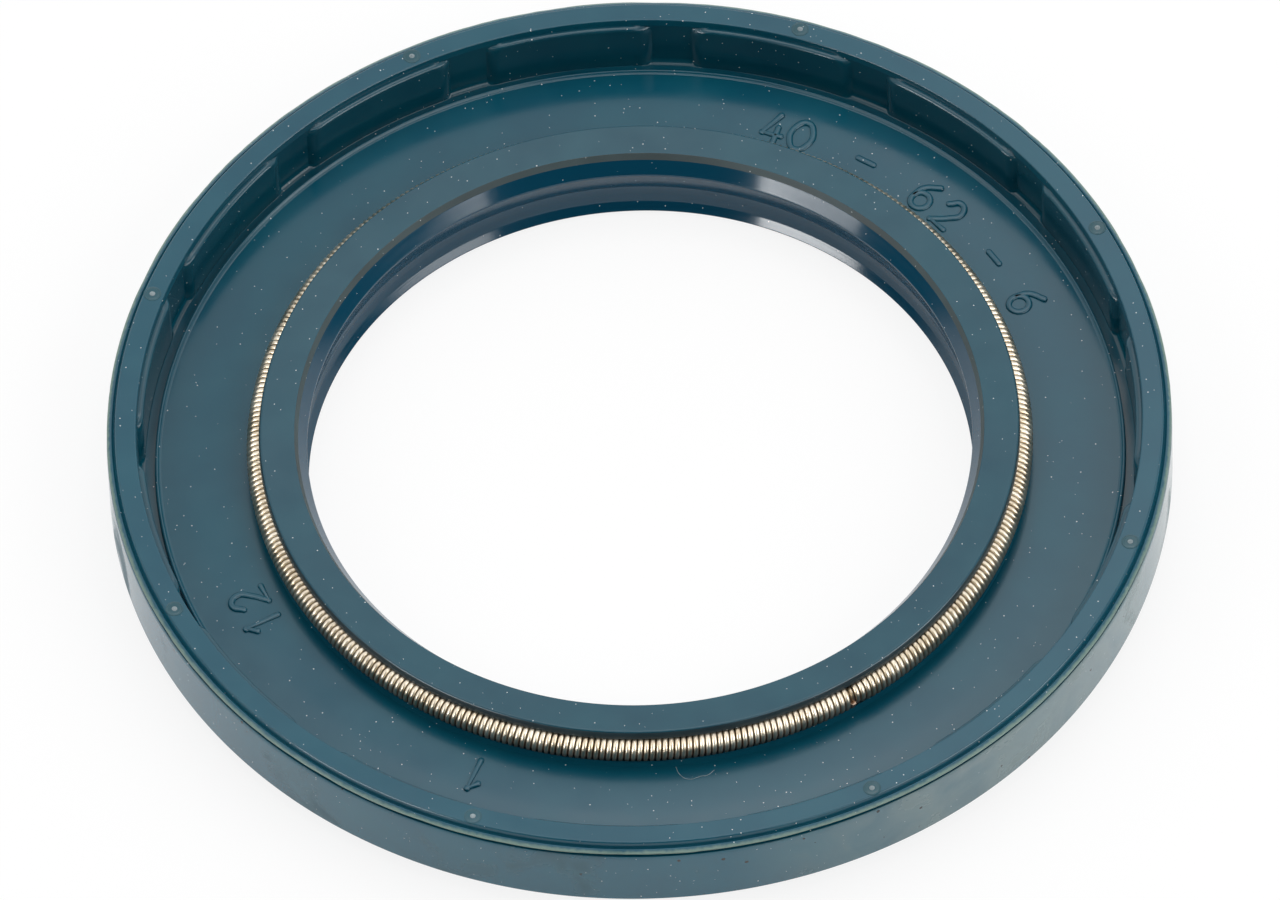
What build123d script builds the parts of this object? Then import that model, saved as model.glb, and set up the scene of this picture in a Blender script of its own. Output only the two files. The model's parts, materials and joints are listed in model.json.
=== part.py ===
from build123d import *
import os

# Radial shaft seal with a dust lip: 40 mm shaft, 62 mm housing bore, 6/5 mm wide.
# Millimetres.  Z is the shaft's axis and the spring side is up.  The origin is on the
# axis, level with the lowest edge of the dust lip.  Sections are drawn as (radius, height).

# ---------------------------------------------------------------- driving dimensions
housing_bore = 62.0
total_width = 6.0  # dust lip to rim land
case_width = 5.0  # back face to rim land
lip_free_bore = 38.74  # unstretched bore of the sealing edge, for a 40 mm shaft

# rim of the outer wall: a land, a chamfer, a narrow step and the mould's flash line
land_inner_r = 29.27
land_outer_r = 30.47
land_fillet = 0.08
step_r = 30.72
step_drop = 0.29
flash_r = 30.97
flash_z = 5.66
flash_thickness = 0.08
relief_depth = 0.12  # the wall stands back a little just under the flash line
relief_top_z = 5.52
relief_bottom_z = 4.80
lead_in = 0.20  # chamfer at the back, where the seal enters its bore

# inside of the wall, and the disc that carries the lip
wall_inner_r = 29.20
disc_r = 28.28
disc_z = 2.62
disc_edge_fillet = 0.40
groove_floor_z = 2.15

# moulded pads round the inside of the wall, which end in a ledge under the land
pad_count = 15
pad_first_angle = 0.5
pad_ledge_z = 5.58
pad_face_r = 28.87
pad_face_half_angle = 8.2
pad_half_angle = 10.0
pad_edge_fillet = 0.18
pad_root = 0.15  # how far a pad runs into the wall that it is moulded with

# raised nubs on the rim land
nub_count = 8
nub_first_angle = 24.7
nub_circle_r = 29.98
nub_dia = 1.05
nub_tip_dia = 0.25
nub_height = 0.10

# garter spring, and the groove that it is stretched into
coil_dia = 1.70
spring_r = 22.07
spring_z = 3.76
groove_clearance = 0.03
neck_r = 23.00  # foot of the slope below the groove

# head of the lip, over the spring, and the sealing edge
head_outer_r = 22.28
head_corner_z = 4.79
head_shoulder = (22.10, 5.21)
head_fillet = 0.16
trim_outer = (20.07, 5.11)  # the front corner is trimmed with a knife
trim_inner = (19.87, 4.71)
edge_z = 3.84
edge_land = 0.12  # cylindrical band that runs on the shaft

# air side, dust lip and the relieved back of the lip
bore_r = 19.85
bore_top_z = 2.10
bore_bottom_z = 1.45
dust_root = (19.75, 0.97)
dust_edge = (19.42, 0.36)
dust_tip_inner_r = 19.78
dust_tip_outer_r = 20.25
dust_tip_fillet = 0.10
recess_z = 1.25
recess_inner_r = 21.35
recess_outer_r = 22.90

# pressed steel ring bonded inside the rubber
sheet = 0.70
ring_inner_r = 23.80
ring_outer_r = 30.15
ring_bottom_z = 1.25
ring_top_z = 5.50
ring_inside_bend = 0.50

# ------------------------------------------------------------------- worked-out sizes
outer_r = housing_bore / 2
edge_r = lip_free_bore / 2
back_z = total_width - case_width
step_z = total_width - step_drop
wall_fillet = wall_inner_r - disc_r
groove_r = coil_dia / 2 + groove_clearance
groove_center_r = spring_r + groove_clearance

os.makedirs("parts", exist_ok=True)


def export(piece, name):
    """Label a finished piece and write its STEP file."""
    piece.part.label = name
    export_step(piece.part, f"parts/{name}.step")


# -------------------------------------------------------------------- case section
# Back face, outer wall, rim land, inside wall, groove, and the disc in to the lip.
with BuildSketch(Plane.XZ) as case_section:
    with BuildLine():
        Polyline(
            (groove_center_r, disc_z),
            (groove_center_r, recess_z),
            (recess_outer_r, recess_z),
            (recess_outer_r + recess_z - back_z, back_z),
            (outer_r - lead_in, back_z),
            (outer_r, back_z + lead_in),
            (outer_r, relief_bottom_z),
            (outer_r - relief_depth, relief_bottom_z + relief_depth),
            (outer_r - relief_depth, relief_top_z),
            (flash_r, flash_z - flash_thickness),
            (flash_r, flash_z),
            (step_r, step_z),
            (land_outer_r, total_width),
            (land_inner_r, total_width),
            (wall_inner_r, pad_ledge_z),
            (wall_inner_r, groove_floor_z + wall_fillet),
        )
        RadiusArc(
            (wall_inner_r, groove_floor_z + wall_fillet),
            (disc_r, groove_floor_z),
            wall_fillet,
        )
        Line((disc_r, groove_floor_z), (disc_r, disc_z - disc_edge_fillet))
        RadiusArc(
            (disc_r, disc_z - disc_edge_fillet),
            (disc_r - disc_edge_fillet, disc_z),
            -disc_edge_fillet,
        )
        Line((disc_r - disc_edge_fillet, disc_z), (groove_center_r, disc_z))
    make_face()
    fillet(case_section.vertices().group_by(Axis.Y)[-1], land_fillet)

# --------------------------------------------------------------------- lip section
# Head, trimmed corner, sealing edge, air side and dust lip, round the spring's groove.
with BuildSketch(Plane.XZ) as lip_section:
    with BuildLine():
        Polyline(
            (groove_center_r, recess_z),
            (neck_r, disc_z),
            (groove_center_r, spring_z - groove_r / 2),
            (head_outer_r, spring_z),
            (head_outer_r, head_corner_z),
            head_shoulder,
            trim_outer,
            trim_inner,
            (edge_r, edge_z + edge_land / 2),
            (edge_r, edge_z - edge_land / 2),
            (bore_r, bore_top_z),
            (bore_r, bore_bottom_z),
            dust_root,
            dust_edge,
            (dust_tip_inner_r, 0),
            (dust_tip_outer_r, 0),
            (recess_inner_r, recess_z),
            close=True,
        )
    make_face()
    fillet(lip_section.vertices().group_by(Axis.Y)[-1], head_fillet)
    fillet(lip_section.vertices().group_by(Axis.Y)[0], dust_tip_fillet)
    with Locations((groove_center_r, spring_z)):
        Circle(groove_r, mode=Mode.SUBTRACT)

# -------------------------------------------------------------------- ring section
# An L of sheet: a wall leg and a floor leg round one bend, drawn on their middle line.
with BuildSketch(Plane.XZ) as ring_section:
    with BuildLine():
        FilletPolyline(
            (ring_inner_r, ring_bottom_z + sheet / 2),
            (ring_outer_r - sheet / 2, ring_bottom_z + sheet / 2),
            (ring_outer_r - sheet / 2, ring_top_z),
            radius=ring_inside_bend + sheet / 2,
        )
    trace(line_width=sheet)

# ------------------------------------------------------------------------- one pad
# A shallow block on the inside of the wall, whose ends curve back into it.
with BuildPart() as pad:
    with BuildSketch(Plane.XY.offset(groove_floor_z)):
        with BuildLine():
            face = CenterArc((0, 0), pad_face_r, -pad_face_half_angle, 2 * pad_face_half_angle)
            root = CenterArc(
                (0, 0), wall_inner_r + pad_root, -pad_half_angle, 2 * pad_half_angle
            )
            TangentArc(face @ 0, root @ 0, tangent=-(face % 0))
            TangentArc(face @ 1, root @ 1, tangent=face % 1)
        make_face()
    extrude(amount=pad_ledge_z - groove_floor_z)
    # the ledge's edge is rounded, except where the pad runs into the wall
    ledge_edges = pad.faces().sort_by(Axis.Z)[-1].edges()
    fillet(ledge_edges.sort_by_distance((0, 0, pad_ledge_z))[:-1], pad_edge_fillet)

# --------------------------------------------------------------------- moulded body
with BuildPart() as seal_body:
    revolve(case_section.sketch, axis=Axis.Z)
    revolve(lip_section.sketch, axis=Axis.Z)
    with PolarLocations(0, pad_count, start_angle=pad_first_angle):
        add(pad.part)
    with Locations((0, 0, total_width)):
        with PolarLocations(nub_circle_r, nub_count, start_angle=nub_first_angle):
            Cone(
                nub_dia / 2,
                nub_tip_dia / 2,
                nub_height,
                align=(Align.CENTER, Align.CENTER, Align.MIN),
            )
    revolve(ring_section.sketch, axis=Axis.Z, mode=Mode.SUBTRACT)
export(seal_body, "seal_body")

# ------------------------------------------------------------------- stiffening ring
with BuildPart() as stiffening_ring:
    revolve(ring_section.sketch, axis=Axis.Z)
export(stiffening_ring, "stiffening_ring")

# --------------------------------------------------------------------- garter spring
with BuildPart() as garter_spring:
    with BuildSketch(Plane.XZ):
        with Locations((spring_r, spring_z)):
            Circle(coil_dia / 2)
    revolve(axis=Axis.Z)
export(garter_spring, "garter_spring")
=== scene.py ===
# %% [markdown]
# # A radial shaft seal in rubber and spring steel
#
# The frame is the engineering model of the seal: a rubber body, a steel ring inside it and a garter
# spring. Here each piece gets the finish of the real one. The rubber body is spun again with fine
# steps, so that its edges catch the light as moulded edges do, and the spring gets its turns of wire.

import json
import math

import bmesh
import bpy
from mathutils import Matrix, Vector, noise

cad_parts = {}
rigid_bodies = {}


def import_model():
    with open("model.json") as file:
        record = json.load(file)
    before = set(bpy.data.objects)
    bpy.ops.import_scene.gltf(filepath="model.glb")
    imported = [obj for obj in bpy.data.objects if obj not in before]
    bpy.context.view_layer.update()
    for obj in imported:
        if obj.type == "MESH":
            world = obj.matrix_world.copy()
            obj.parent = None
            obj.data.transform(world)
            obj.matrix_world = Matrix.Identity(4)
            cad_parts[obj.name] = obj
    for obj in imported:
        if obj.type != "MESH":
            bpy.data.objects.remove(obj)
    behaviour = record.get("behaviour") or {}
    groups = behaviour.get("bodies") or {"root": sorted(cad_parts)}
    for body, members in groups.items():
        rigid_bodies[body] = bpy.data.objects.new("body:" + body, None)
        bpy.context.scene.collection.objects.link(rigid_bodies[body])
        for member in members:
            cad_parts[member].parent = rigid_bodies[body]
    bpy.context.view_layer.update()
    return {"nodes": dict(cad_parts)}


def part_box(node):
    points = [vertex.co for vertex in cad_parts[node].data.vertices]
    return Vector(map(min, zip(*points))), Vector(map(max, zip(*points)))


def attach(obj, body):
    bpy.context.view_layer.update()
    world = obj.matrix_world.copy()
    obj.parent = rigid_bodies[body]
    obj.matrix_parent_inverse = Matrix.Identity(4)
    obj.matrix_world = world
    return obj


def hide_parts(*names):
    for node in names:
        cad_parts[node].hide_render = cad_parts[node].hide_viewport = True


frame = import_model()
MM = 0.001  # Blender's unit is the metre, and this lesson measures the seal in millimetres

print("nodes:", sorted(frame["nodes"]))

# %% [markdown]
# ## Sizes
#
# Four sizes come from the frame: the outer radius, and the thickness, radius and height of the plain
# ring that stands for the spring. The other radii and heights are the ones that a drawing of the
# seal's section would give. Height zero is the lowest edge of the dust lip.

# %% Name the sizes of the section
outer_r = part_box("seal_body")[1].x / MM
spring_low, spring_high = (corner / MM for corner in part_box("garter_spring"))
coil_dia = spring_high.z - spring_low.z
spring_r = spring_high.x - coil_dia / 2
spring_z = (spring_high.z + spring_low.z) / 2

rim_z = 6.0
back_z = 1.0
lead_in = 0.20  # chamfer at the back, where the seal enters its housing
land_inner_r, land_outer_r = 29.27, 30.47
step_r, step_z = 30.72, 5.71
notch_r, notch_z = 30.58, 5.60  # between the land and the step
flash_r, flash_z, flash_thickness = 30.985, 5.57, 0.08
relief_r, relief_top_z, relief_bottom_z = 30.76, 5.46, 5.24  # a narrow slot under the flash
relief_step, relief_run_out = 0.03, 0.20  # below the slot the wall comes out to its full radius
wall_inner_r = 29.20
disc_r, disc_z = 28.28, 2.62
groove_floor_z = 2.15
neck_r = 22.70
dish_r, dish_drop = 25.00, 0.14  # outside this radius the disc falls a little towards the wall
dished_z = disc_z - dish_drop
bead_r, bead_foot_r, bead_height = 28.14, 28.02, 0.15  # a fine bead along the disc's edge
groove_r = coil_dia / 2 + 0.03
groove_center_r = spring_r + 0.03
head_r, head_corner_z = 22.16, 4.91
front_outer, front_inner, trim_foot = (22.06, 5.19), (20.07, 5.11), (19.87, 4.71)
edge_r, edge_z, edge_land = 19.37, 3.84, 0.12
bore_r, bore_top_z, bore_bottom_z = 19.85, 2.10, 1.45
dust_root, dust_edge = (19.75, 0.97), (19.38, 0.43)
dust_tip_inner_r, dust_tip_outer_r = 19.78, 20.25
recess_z, recess_inner_r, recess_outer_r = 1.25, 21.35, 22.90

pad_count = 15
pad_first_angle = 0.5
pad_ledge_z, pad_face_r = 5.58, 28.87
pad_face_half_angle = 8.2
pad_end_r = 1.10  # radius of the curve that takes each end of a pad back into the wall
pad_edge_r = 0.18
pad_corner_r = 0.60  # each upper corner of a pad, seen from the axis

print(f"outer radius {outer_r:.2f}, spring ring {spring_r:.2f} at {spring_z:.2f}, coil {coil_dia:.2f}")

# %% [markdown]
# ## Small helpers
#
# Every piece is modelled in millimetres round the origin and scaled once, in its mesh, when it is
# finished. So its object stays unturned and unscaled, and a material that reads Object coordinates
# sees the true place of every point.

# %% Helpers for pieces
scene = bpy.context.scene
sharp_edge_angle = 34  # degrees between two faces, past which the edge between them stays sharp


def finish_piece(bm, name, materials, sharp_angle=sharp_edge_angle):
    """Scale a bmesh from millimetres, make it an object, smooth it and let it ride on the frame."""
    bmesh.ops.scale(bm, vec=(MM, MM, MM), verts=bm.verts)
    mesh = bpy.data.meshes.new(name)
    bm.to_mesh(mesh)
    bm.free()
    for material in materials:
        mesh.materials.append(material)
    mesh.shade_smooth()
    mesh.set_sharp_from_angle(angle=math.radians(sharp_angle))
    piece = bpy.data.objects.new(name, mesh)
    scene.collection.objects.link(piece)
    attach(piece, "root")
    print(f"{name}: {sum(len(p.vertices) - 2 for p in mesh.polygons)} triangles")
    return piece


def on_circle(radius, degrees, z=0.0):
    """A point at a radius and an angle round the shaft's axis, in millimetres."""
    angle = math.radians(degrees)
    return Vector((radius * math.cos(angle), radius * math.sin(angle), z))


# %% [markdown]
# ## Helpers for materials
#
# The colours are written as sRGB hex values, as a colour picker shows them. Shaders work in linear
# light, so one function turns them. A second small function adds a node with its settings and links,
# which keeps each material a short list of steps that can be read from top to bottom. A Mix node that
# blends two colours has several sockets of the same name, so its own are reached by number.

# %% Helpers for colours and nodes
COLOUR_A, COLOUR_B, MIXED = 6, 7, 2  # a colour Mix node's two inputs and its output


def linear(hex_colour):
    """An sRGB hex colour as linear RGBA."""
    channels = [int(hex_colour[i : i + 2], 16) / 255 for i in (1, 3, 5)]
    return [c / 12.92 if c <= 0.04045 else ((c + 0.055) / 1.055) ** 2.4 for c in channels] + [1.0]


def add_node(tree, kind, inputs=None, **settings):
    """Add one node, set its properties, and set or link its inputs."""
    node = tree.nodes.new("ShaderNode" + kind)
    for name, value in settings.items():
        setattr(node, name, value)
    for key, value in (inputs or {}).items():
        if isinstance(value, bpy.types.NodeSocket):
            tree.links.new(value, node.inputs[key])
        else:
            node.inputs[key].default_value = value
    return node


def new_material(name):
    """An empty node material with its output, and its tree."""
    material = bpy.data.materials.new(name)
    material.use_nodes = True
    material.node_tree.nodes.clear()
    output = add_node(material.node_tree, "OutputMaterial")
    return material, material.node_tree, output


# %% [markdown]
# ## The camera
#
# The seal is seen from 53 degrees above the table through a long lens, so its circles are nearly true
# ellipses. The camera is turned a little about its own axis. Its place is worked out from the point
# on the seal that it looks at.

# %% Set up the camera
camera_elevation = math.radians(53.172)
camera_roll = math.radians(2.2495)
camera_distance = 1200.0
camera_lens = 580.48
aim_along_right, aim_along_up, aim_z = 0.0627, -1.7393, 5.71

level_up = Vector((0, math.sin(camera_elevation), math.cos(camera_elevation)))
camera_back = Vector((0, -math.cos(camera_elevation), math.sin(camera_elevation)))
level_right = Vector((1, 0, 0))
camera_right = level_right * math.cos(camera_roll) - level_up * math.sin(camera_roll)
camera_up = level_right * math.sin(camera_roll) + level_up * math.cos(camera_roll)
aim = camera_right * aim_along_right + camera_up * aim_along_up + Vector((0, 0, aim_z))

camera_data = bpy.data.cameras.new("camera")
camera_data.lens = camera_lens
camera_data.clip_start, camera_data.clip_end = 0.05, 10.0
camera = bpy.data.objects.new("camera", camera_data)
axes = Matrix((camera_right, camera_up, camera_back)).transposed()
camera.matrix_world = Matrix.Translation((aim + camera_back * camera_distance) * MM) @ axes.to_4x4()
scene.collection.objects.link(camera)
scene.camera = camera
print("camera at", [round(c, 4) for c in camera.matrix_world.translation])

# %% [markdown]
# ## Moulded nitrile rubber
#
# The body is nitrile rubber, compression moulded in a polished steel mould, so it is smooth and half
# glossy: a deep blue-green that shows a grey sheen wherever it mirrors a bright part of the room. The
# sheen comes from the shader's own gloss over a fine grain. Fine dust lies on it everywhere, as small
# pale specks, each in a cell of its own of a 3-D pattern. One function makes every kind of moulded
# rubber on the seal, because they differ only in colour, gloss and grain.

# %% Define moulded rubber
dust_hex = "#DCE3E4"
smallest_speck = 0.3  # radius of the smallest specks, as a share of the largest
mottle_mm, smear_mm = 5, 2.5  # sizes of the patches in colour and in gloss
grain_mm = 0.12  # the real grain is finer: it is drawn as coarse as it needs to be to show


def dust_specks(tree, place, cell_mm, radius_mm):
    """A mask of small specks: one at the middle of each cell of a coarse 3-D pattern."""
    cells = add_node(tree, "TexVoronoi", {"Vector": place, "Scale": 1 / (cell_mm * MM)})
    shade = add_node(tree, "SeparateColor", {"Color": cells.outputs["Color"]})
    size = add_node(
        tree, "MapRange",
        {"Value": shade.outputs["Red"], "From Min": 0.0, "From Max": 1.0,
         "To Min": smallest_speck * radius_mm / cell_mm, "To Max": radius_mm / cell_mm},
    )
    return add_node(
        tree, "Math", {0: cells.outputs["Distance"], 1: size.outputs["Result"]}, operation="LESS_THAN"
    ).outputs["Value"]


def moulded_rubber(name, light_hex, dark_hex, roughness, grain_depth_mm):
    """Rubber as it leaves a polished mould."""
    material, tree, output = new_material(name)
    place = add_node(tree, "TexCoord").outputs["Object"]
    mottle = add_node(
        tree, "TexNoise", {"Vector": place, "Scale": 1 / (mottle_mm * MM), "Detail": 3.0}
    )
    colour = add_node(tree, "ValToRGB", {"Fac": mottle.outputs["Fac"]})
    stops = colour.color_ramp.elements
    stops[0].position, stops[1].position = 0.35, 0.65
    stops[0].color, stops[1].color = linear(dark_hex), linear(light_hex)
    dust = dust_specks(tree, place, cell_mm=0.45, radius_mm=0.038)
    dusty = add_node(
        tree, "Mix",
        {"Factor": dust, COLOUR_A: colour.outputs["Color"], COLOUR_B: linear(dust_hex)},
        data_type="RGBA",
    )
    smear = add_node(
        tree, "TexNoise", {"Vector": place, "Scale": 1 / (smear_mm * MM), "Detail": 4.0}
    )
    gloss = add_node(
        tree, "MapRange",
        {"Value": smear.outputs["Fac"], "From Min": 0.3, "From Max": 0.7,
         "To Min": roughness - 0.03, "To Max": roughness + 0.04},
    )
    grain = add_node(
        tree, "TexNoise", {"Vector": place, "Scale": 1 / (grain_mm * MM), "Detail": 2.0}
    )
    relief = add_node(
        tree, "Bump",
        {"Height": grain.outputs["Fac"], "Distance": grain_depth_mm * MM, "Strength": 1.0},
    )
    shader = add_node(
        tree, "BsdfPrincipled",
        {"Base Color": dusty.outputs[MIXED], "Roughness": gloss.outputs["Result"], "IOR": 1.5,
         "Normal": relief.outputs["Normal"]},
    )
    tree.links.new(shader.outputs["BSDF"], output.inputs["Surface"])
    return material


# %% [markdown]
# ## The body's own rubbers
#
# The disc and the rim are as glossy as the polished mould leaves them. The lip's head is a little
# darker and duller, and the same darker rubber is painted shade on the inside wall, its pads and the
# slot under the flash. The face that a knife trimmed is dull, with the deeper grain of a cut. The
# groove round the spring and the side of the head are painted shade, in a dark, dull rubber.

# %% Make the body's rubbers
rubber = moulded_rubber(
    "moulded_nitrile_rubber", "#084F61", "#074A5D", roughness=0.17, grain_depth_mm=0.0008
)
# the lip's head is a little darker; the same rubber is painted shade on the inside wall, its pads and
# the slot under the flash
lip_and_shade_rubber = moulded_rubber(
    "lip_and_painted_shade_nitrile_rubber", "#074959", "#064354", roughness=0.20, grain_depth_mm=0.0008
)
cut_rubber = moulded_rubber(
    "knife_cut_nitrile_rubber", "#33474A", "#253638", roughness=0.6, grain_depth_mm=0.006
)
# painted shade: a dark, dull rubber for the groove round the spring and the side of the head
groove_shade_rubber = moulded_rubber(
    "groove_painted_shade_nitrile_rubber", "#2B4046", "#20333A", roughness=0.45, grain_depth_mm=0.003
)
print("rubbers:", [m.name for m in (rubber, lip_and_shade_rubber, cut_rubber, groove_shade_rubber)])

# %% [markdown]
# ## Thin rubber at the mould's parting line
#
# Where the mould's halves met, a thin film of rubber squeezed out, and its torn edge is pale khaki. It
# is moulded rubber with one more colour, which comes up over the last two tenths of a millimetre along
# a ragged line. Distance from the axis draws that line, and noise shifts it in and out.

# %% Make the flash rubber
khaki_from_r, khaki_to_r = 30.78, 30.92
ragged_mm, ragged_reach = 0.35, 0.06  # size of the line's teeth, and how far they shift it

flash_rubber = moulded_rubber(
    "parting_line_nitrile_rubber", "#085265", "#074D61", roughness=0.34, grain_depth_mm=0.004
)
tree = flash_rubber.node_tree
place = add_node(tree, "TexCoord").outputs["Object"]
flat_place = add_node(tree, "VectorMath", {0: place, 1: (1.0, 1.0, 0.0)}, operation="MULTIPLY")
from_axis = add_node(tree, "VectorMath", {0: flat_place.outputs["Vector"]}, operation="LENGTH")
ragged = add_node(
    tree, "TexNoise", {"Vector": place, "Scale": 1 / (ragged_mm * MM), "Detail": 4.0}
)
drift = add_node(
    tree, "MapRange",
    {"Value": ragged.outputs["Fac"], "From Min": 0.2, "From Max": 0.8,
     "To Min": -ragged_reach * MM, "To Max": ragged_reach * MM},
)
edge = add_node(
    tree, "Math", {0: from_axis.outputs["Value"], 1: drift.outputs["Result"]}, operation="ADD"
)
scorched = add_node(
    tree, "MapRange",
    {"Value": edge.outputs["Value"], "From Min": khaki_from_r * MM, "From Max": khaki_to_r * MM},
)
shader = next(node for node in tree.nodes if node.type == "BSDF_PRINCIPLED")
moulded_colour = shader.inputs["Base Color"].links[0].from_socket
khaki = add_node(
    tree, "Mix",
    {"Factor": scorched.outputs["Result"], COLOUR_A: moulded_colour, COLOUR_B: linear("#6C857C")},
    data_type="RGBA",
)
tree.links.new(khaki.outputs[MIXED], shader.inputs["Base Color"])
print("flash rubber:", len(tree.nodes), "nodes")

# %% [markdown]
# ## The outer wall
#
# The outer wall is the face that seals in the housing. It slid out of a straight bore in the mould, and
# it rubs on everything that the seal is laid against, so its colour is broken by small scuffs and a few
# dark specks. Its base colour is a little paler than the disc's, as painted light. One side is paler
# still, as a painted sheen: a pale colour that grows along X and is patterned by the scuffs' own noise.

# %% Colour the wall rubber
scuff_mm = 3.5
# painted sheen: where along X one side of the wall turns paler, and how much
painted_sheen_from_x, painted_sheen_to_x, painted_sheen_amount = 4, 16, 1.2

# the wall's base colour is a little paler than the disc's: painted light, standing in for the bounce
# from the bright table
wall_rubber = moulded_rubber(
    "bore_moulded_nitrile_rubber", "#0B5A6D", "#0A5469", roughness=0.22, grain_depth_mm=0.001
)
tree = wall_rubber.node_tree
place = add_node(tree, "TexCoord").outputs["Object"]
scuffs = add_node(
    tree, "TexNoise",
    {"Vector": place, "Scale": 1 / (scuff_mm * MM), "Detail": 6.0, "Distortion": 0.6},
)
scuffed = add_node(
    tree, "MapRange",
    {"Value": scuffs.outputs["Fac"], "From Min": 0.52, "From Max": 0.68, "To Max": 0.35},
)
# painted sheen: a pale share that grows along X, times the scuffs' noise
along = add_node(tree, "SeparateXYZ", {"Vector": place})
painted_sheen_ramp = add_node(
    tree, "MapRange",
    {"Value": along.outputs["X"], "From Min": painted_sheen_from_x * MM, "From Max": painted_sheen_to_x * MM,
     "To Max": painted_sheen_amount},
)
painted_sheen = add_node(
    tree, "Math", {0: painted_sheen_ramp.outputs["Result"], 1: scuffs.outputs["Fac"]}, operation="MULTIPLY"
)
specks = dust_specks(tree, place, cell_mm=1.3, radius_mm=0.12)
shader = next(node for node in tree.nodes if node.type == "BSDF_PRINCIPLED")
wall_colour = shader.inputs["Base Color"].links[0].from_socket
# the pale #7B8D8D is painted sheen; the grey scuffs and the dark specks are the wall's own marks
for mask, mark_hex in (
    (scuffed.outputs["Result"], "#3A4A4C"), (painted_sheen.outputs["Value"], "#7B8D8D"), (specks, "#0B1418"),
):
    marked = add_node(
        tree, "Mix", {"Factor": mask, COLOUR_A: wall_colour, COLOUR_B: linear(mark_hex)},
        data_type="RGBA",
    )
    wall_colour = marked.outputs[MIXED]
tree.links.new(wall_colour, shader.inputs["Base Color"])
print("wall rubber:", len(tree.nodes), "nodes")

# %% [markdown]
# ## The gloss of the wall
#
# The wall is glossier than the disc, and its gloss is broken by faint lines that run round it, as they
# are left by a slide out of the mould. The lines are noise that is stretched along the wall, and the
# scuffs are duller than the rest.

# %% Give the wall its gloss
line_mm, line_stretch = 0.25, (0.12, 0.12, 1.0)
wall_ior = 1.6

stretched = add_node(tree, "VectorMath", {0: place, 1: line_stretch}, operation="MULTIPLY")
lines = add_node(
    tree, "TexNoise",
    {"Vector": stretched.outputs["Vector"], "Scale": 1 / (line_mm * MM), "Detail": 4.0},
)
wall_gloss = add_node(
    tree, "MapRange",
    {"Value": lines.outputs["Fac"], "From Min": 0.3, "From Max": 0.7, "To Min": 0.08, "To Max": 0.18},
)
wall_roughness = add_node(
    tree, "Math", {0: wall_gloss.outputs["Result"], 1: scuffed.outputs["Result"]}, operation="ADD"
)
tree.links.new(wall_roughness.outputs["Value"], shader.inputs["Roughness"])
shader.inputs["IOR"].default_value = wall_ior
print("wall rubber with its gloss:", len(tree.nodes), "nodes")

# %% [markdown]
# ## Rubber from the polished core
#
# The faces round the bore were moulded against the mould's turned and polished core. They are the
# glossiest part of the seal, and they carry fine lines round the bore, as a turned core leaves them.
# The pattern is drawn in radius and height, so that its lines run round the axis.

# %% Make the core-polished rubber
line_mm, run_mm = 0.05, 6  # spacing of the lines, and how far they run before they change
line_depth_mm = 0.0015

core_rubber, tree, output = new_material("core_polished_nitrile_rubber")
place = add_node(tree, "TexCoord").outputs["Object"]
axes_xyz = add_node(tree, "SeparateXYZ", {"Vector": place}).outputs
flat_place = add_node(tree, "CombineXYZ", {"X": axes_xyz["X"], "Y": axes_xyz["Y"]})
from_axis = add_node(tree, "VectorMath", {0: flat_place.outputs["Vector"]}, operation="LENGTH")
line_place = {}
for name, distance, step_mm in (
    ("X", from_axis.outputs["Value"], line_mm), ("Y", axes_xyz["Z"], line_mm),
    ("Z", axes_xyz["X"], run_mm), ("W", axes_xyz["Y"], run_mm),
):
    scaled = add_node(tree, "Math", {0: distance, 1: 1 / (step_mm * MM)}, operation="MULTIPLY")
    line_place[name] = scaled.outputs["Value"]
line_vector = add_node(tree, "CombineXYZ", {axis: line_place[axis] for axis in "XYZ"})
lines = add_node(
    tree, "TexNoise",
    {"Vector": line_vector.outputs["Vector"], "W": line_place["W"], "Scale": 1.0, "Detail": 3.0},
    noise_dimensions="4D",
)
line_relief = add_node(
    tree, "Bump", {"Height": lines.outputs["Fac"], "Distance": line_depth_mm * MM, "Strength": 1.0}
)
line_gloss = add_node(
    tree, "MapRange",
    {"Value": lines.outputs["Fac"], "From Min": 0.35, "From Max": 0.65, "To Min": 0.08, "To Max": 0.17},
)
core_dust = dust_specks(tree, place, cell_mm=0.55, radius_mm=0.035)
core_colour = add_node(
    tree, "Mix", {"Factor": core_dust, COLOUR_A: linear("#053F56"), COLOUR_B: linear(dust_hex)},
    data_type="RGBA",
)
shader = add_node(
    tree, "BsdfPrincipled",
    {"Base Color": core_colour.outputs[MIXED], "Roughness": line_gloss.outputs["Result"],
     "IOR": 1.5, "Normal": line_relief.outputs["Normal"]},
)
tree.links.new(shader.outputs["BSDF"], output.inputs["Surface"])
print("core rubber:", len(tree.nodes), "nodes")

# %% [markdown]
# ## The section of the body
#
# The body is round, so one section spun about the shaft's axis makes all of it apart from the pads and
# the nubs. The section starts as one face with a vertex at each corner. A vertex bevel rounds each
# corner by its own amount, as the mould's cutter did, and only the outline is kept for the spin. Two
# small things give the rim its fine lines: a notch beside the land and a slot under the flash. The disc
# falls a little outwards and ends in a fine bead, which draws a bright line.

# %% List the corners of the section
def arc_points(center_r, center_z, radius, start, end, steps):
    """Points on an arc of the section, from one angle to another, in degrees."""
    angles = [math.radians(start + (end - start) * i / steps) for i in range(steps + 1)]
    return [(center_r + radius * math.cos(a), center_z + radius * math.sin(a)) for a in angles]


mouth_low, mouth_high = -61.0, 86.0  # where the spring groove opens, in degrees round its centre
groove_steps = 13
ledge_foot_z = pad_ledge_z - 0.20  # down to here, the wall's points are the ones for a pad's ledge
ledge_rows = 5
corner_rows = (5.27, 5.14, 5.00)  # heights of the points that round a pad's upper corners

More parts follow.
